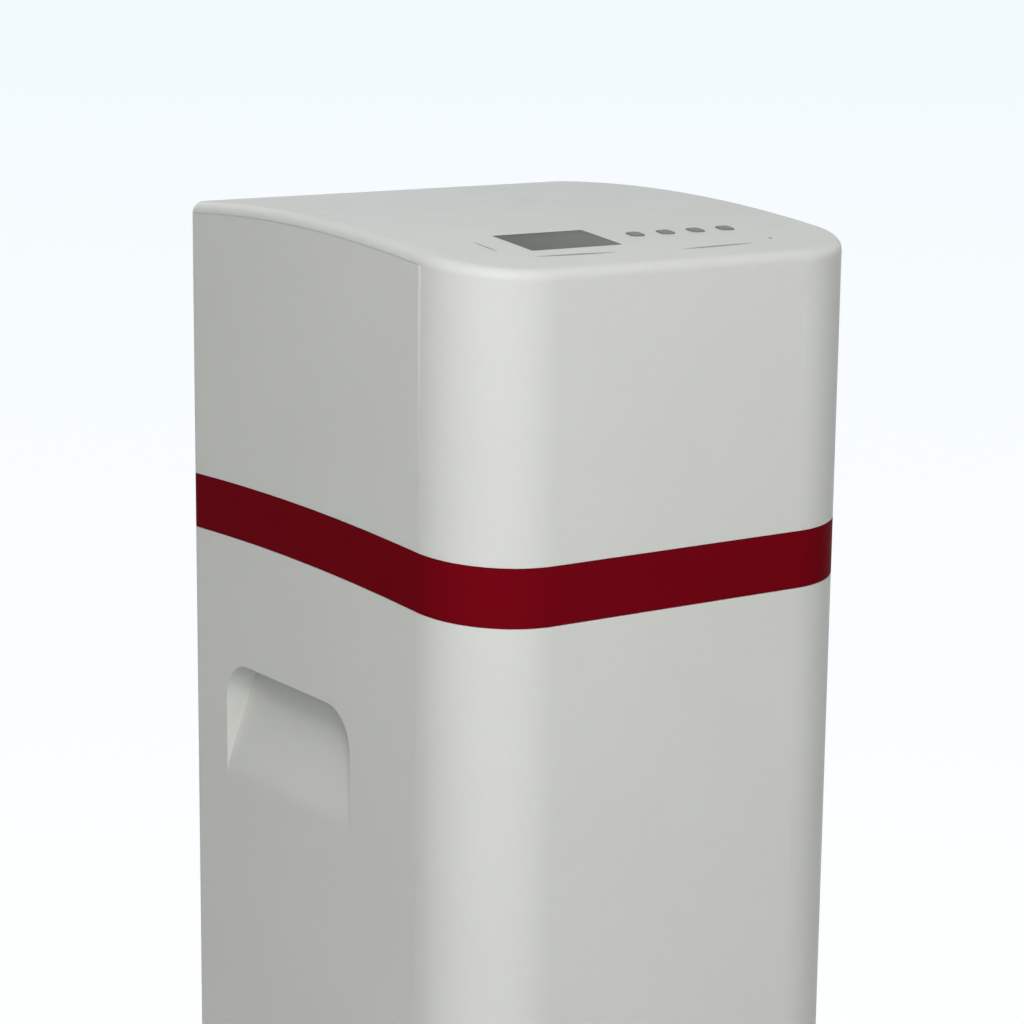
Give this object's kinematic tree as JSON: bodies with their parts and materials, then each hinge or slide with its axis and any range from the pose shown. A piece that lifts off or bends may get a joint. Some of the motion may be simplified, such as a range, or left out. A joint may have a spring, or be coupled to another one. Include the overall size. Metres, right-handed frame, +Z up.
{
  "type": "whole house water filter",
  "caption": "Free-standing cabinet water filter: arched lift-off hood with display and keys, trim band, side grips, filter vessel, motor-driven valve and bypass.",
  "frame": {"origin": "on the floor, under the middle of the cabinet's outline", "axes": "+X to the right seen from the front, +Y to the back, +Z up"},
  "size_m": [0.34, 0.38, 1.13],
  "materials": {
    "shell_white": "satin off-white moulding",
    "band_red": "satin dark red moulding",
    "lens": "smoked clear window",
    "button_grey": "soft grey",
    "tray_grey": "moulded dark grey",
    "rubber_black": "moulded rubber",
    "vessel_blue": "wound and coated composite",
    "valve_black": "glass-filled plastic",
    "bypass_grey": "glass-filled plastic",
    "knob_red": "moulded",
    "clip_white": "moulded",
    "steel": "plated",
    "ceramic": "lapped ceramic",
    "gear_white": "acetal",
    "board_green": "solder mask",
    "module_grey": "display module",
    "riser_white": "extruded",
    "gravel": "loose gravel",
    "sand": "loose sand",
    "carbon": "loose granules",
    "light_pipe": "clear",
    "magnet": "ferrite"
  },
  "bodies": {
    "cabinet": {"cabinet_shell": "shell_white", "cable_grommet": "rubber_black", "rubber_feet": "rubber_black", "foot_screws": "steel", "base_tray": "tray_grey", "trim_band": "band_red", "pressure_vessel": "vessel_blue", "vessel_boot": "rubber_black", "riser_tube": "riser_white", "bottom_strainer": "riser_white", "top_strainer": "riser_white", "gravel_bed": "gravel", "sand_bed": "sand", "carbon_bed": "carbon", "valve_body": "valve_black", "meter_sensor": "valve_black", "neck_o_ring": "rubber_black", "disc_seal": "rubber_black", "fixed_disc": "ceramic", "chamber_cap": "valve_black", "gear_plate": "bypass_grey", "plate_screws": "steel", "motor_screws": "steel", "drive_motor": "steel", "position_board": "board_green", "meter_cartridge": "clip_white", "bypass_body": "bypass_grey", "port_o_rings": "rubber_black", "coupling_clips": "clip_white", "outlet_adapter": "valve_black", "inlet_adapter": "valve_black", "drain_elbow": "valve_black"},
    "valve_drive": {"drive_gear": "gear_white", "drive_shaft": "steel", "moving_disc": "ceramic", "shaft_o_ring": "rubber_black", "position_magnet": "magnet", "gear_screw": "steel"},
    "motor_output": {"motor_pinion": "gear_white", "motor_shaft": "steel"},
    "inlet_bypass_valve": {"inlet_bypass_rotor": "valve_black", "inlet_bypass_knob": "knob_red"},
    "outlet_bypass_valve": {"outlet_bypass_rotor": "valve_black", "outlet_bypass_knob": "knob_red"},
    "meter_wheel": {"meter_impeller": "gear_white"},
    "hood": {"hood_front_cover": "shell_white", "hood_rear_shell": "shell_white", "display_lens": "lens", "lcd_module": "module_grey", "control_board": "board_green", "board_screws": "steel", "button_switches": "valve_black", "status_light_pipe": "light_pipe", "hood_screws": "steel"},
    "key_1": {"button_1": "button_grey"},
    "key_2": {"button_2": "button_grey"},
    "key_3": {"button_3": "button_grey"},
    "key_4": {"button_4": "button_grey"}
  },
  "joints": [
    {"name": "hood_lift", "type": "slide", "parent": "cabinet", "child": "hood", "axis": [0, 0, 1], "range_m": [0, 0.2]},
    {"name": "drive_gear_turn", "type": "hinge", "parent": "cabinet", "child": "valve_drive", "pos_m": [0, -0.015, 1.046], "axis": [0, 0, 1], "continuous": true},
    {"name": "pinion_turn", "type": "hinge", "parent": "cabinet", "child": "motor_output", "pos_m": [0, -0.0675, 1.046], "axis": [0, 0, 1], "continuous": true},
    {"name": "inlet_bypass_turn", "type": "hinge", "parent": "cabinet", "child": "inlet_bypass_valve", "pos_m": [0.0275, 0.091, 0.968], "axis": [0, 0, 1], "range_deg": [0, 90]},
    {"name": "outlet_bypass_turn", "type": "hinge", "parent": "cabinet", "child": "outlet_bypass_valve", "pos_m": [-0.0275, 0.091, 0.968], "axis": [0, 0, -1], "range_deg": [0, 90]},
    {"name": "meter_turn", "type": "hinge", "parent": "cabinet", "child": "meter_wheel", "pos_m": [-0.0275, 0.03, 0.968], "axis": [0, 1, 0], "continuous": true},
    {"name": "button_1_press", "type": "slide", "parent": "hood", "child": "key_1", "axis": [0, 0.1067, -0.9943], "range_m": [0, 0.0008], "stiffness_N_per_m": 500, "springref_m": -0.001},
    {"name": "button_2_press", "type": "slide", "parent": "hood", "child": "key_2", "axis": [0, 0.1067, -0.9943], "range_m": [0, 0.0008], "stiffness_N_per_m": 500, "springref_m": -0.001},
    {"name": "button_3_press", "type": "slide", "parent": "hood", "child": "key_3", "axis": [0, 0.1067, -0.9943], "range_m": [0, 0.0008], "stiffness_N_per_m": 500, "springref_m": -0.001},
    {"name": "button_4_press", "type": "slide", "parent": "hood", "child": "key_4", "axis": [0, 0.1067, -0.9943], "range_m": [0, 0.0008], "stiffness_N_per_m": 500, "springref_m": -0.001}
  ],
  "couplings": [
    {"joint": "pinion_turn", "follows": "drive_gear_turn", "ratio": -6}
  ]
}
